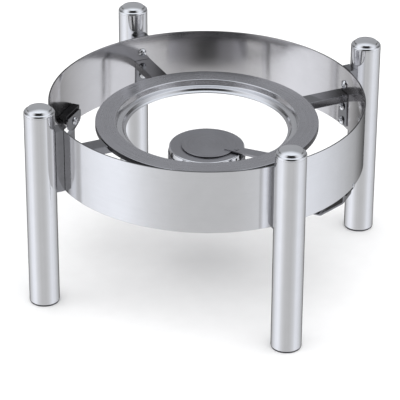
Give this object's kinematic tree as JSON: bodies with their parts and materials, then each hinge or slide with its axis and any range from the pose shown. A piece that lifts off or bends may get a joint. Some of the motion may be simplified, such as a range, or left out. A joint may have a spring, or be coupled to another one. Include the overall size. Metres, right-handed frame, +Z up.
{
  "type": "chafing dish stand with alcohol burner",
  "caption": "Round hoop stand on tubular legs with a lift-off pot support ring and a central alcohol burner with a swinging regulator.",
  "frame": {"origin": "on the floor at the centre of the hoop band, at the level of the foot plugs' undersides", "axes": "+Z up along the hoop's axis; the four legs stand at 45, 135, 225 and 315 degrees from +X; the burner's lever points 4.5 degrees to the -Y side of +X"},
  "size_m": [0.3964, 0.3964, 0.2707],
  "materials": {
    "polished_steel": "mirror-polished stainless sheet with fine polishing lines",
    "satin_tube": "fine satin stainless tube, grain along the tube",
    "satin_plate": "satin stainless sheet, grain round the part",
    "bright_chrome": "bright chrome",
    "dark_steel": "blackened steel, semi-matt",
    "black_rubber": "moulded black rubber, matt",
    "wool": "packed heat-proof fibre",
    "gauze": "woven brass wire, dulled by heat"
  },
  "bodies": {
    "stand": {"bridge_bolt_front": "bright_chrome", "bridge_bolt_rear": "bright_chrome", "bridge_pad_front": "black_rubber", "bridge_pad_rear": "black_rubber", "burner_bridge": "satin_plate", "burner_tray": "satin_plate", "flange_lower_bolt_1": "bright_chrome", "flange_lower_bolt_2": "bright_chrome", "flange_lower_bolt_3": "bright_chrome", "flange_lower_bolt_4": "bright_chrome", "flange_upper_bolt_1": "bright_chrome", "flange_upper_bolt_2": "bright_chrome", "flange_upper_bolt_3": "bright_chrome", "flange_upper_bolt_4": "bright_chrome", "foot_plug_1": "black_rubber", "foot_plug_2": "black_rubber", "foot_plug_3": "black_rubber", "foot_plug_4": "black_rubber", "hoop_band": "polished_steel", "leg_cap_1": "bright_chrome", "leg_cap_2": "bright_chrome", "leg_cap_3": "bright_chrome", "leg_cap_4": "bright_chrome", "leg_nut_strip_1": "satin_plate", "leg_nut_strip_2": "satin_plate", "leg_nut_strip_3": "satin_plate", "leg_nut_strip_4": "satin_plate", "leg_spacer_1": "satin_plate", "leg_spacer_2": "satin_plate", "leg_spacer_3": "satin_plate", "leg_spacer_4": "satin_plate", "leg_tube_1": "satin_tube", "leg_tube_2": "satin_tube", "leg_tube_3": "satin_tube", "leg_tube_4": "satin_tube", "ring_arm_1": "satin_plate", "ring_arm_2": "satin_plate", "ring_arm_3": "satin_plate", "ring_arm_4": "satin_plate", "tray_rivet_front": "satin_plate", "tray_rivet_rear": "satin_plate", "upper_bolt_1": "bright_chrome", "upper_bolt_2": "bright_chrome", "upper_bolt_3": "bright_chrome", "upper_bolt_4": "bright_chrome"},
    "support_ring": {"support_ring": "satin_plate"},
    "burner": {"burner_can": "satin_plate", "burner_wool": "wool", "flame_gauze": "gauze", "burner_lid": "satin_plate", "pivot_bracket": "dark_steel", "pivot_pin": "satin_plate"},
    "regulator": {"regulator_plate": "satin_plate"}
  },
  "joints": [
    {"name": "ring_lift", "type": "slide", "parent": "stand", "child": "support_ring", "axis": [0, 0, 1], "range_m": [0, 0.08]},
    {"name": "burner_lift", "type": "slide", "parent": "stand", "child": "burner", "axis": [0, 0, 1], "range_m": [0, 0.13]},
    {"name": "regulator_swing", "type": "hinge", "parent": "burner", "child": "regulator", "pos_m": [0.04087, -0.00322, 0.17], "axis": [0, 0, 1], "range_deg": [0, 55]}
  ]
}
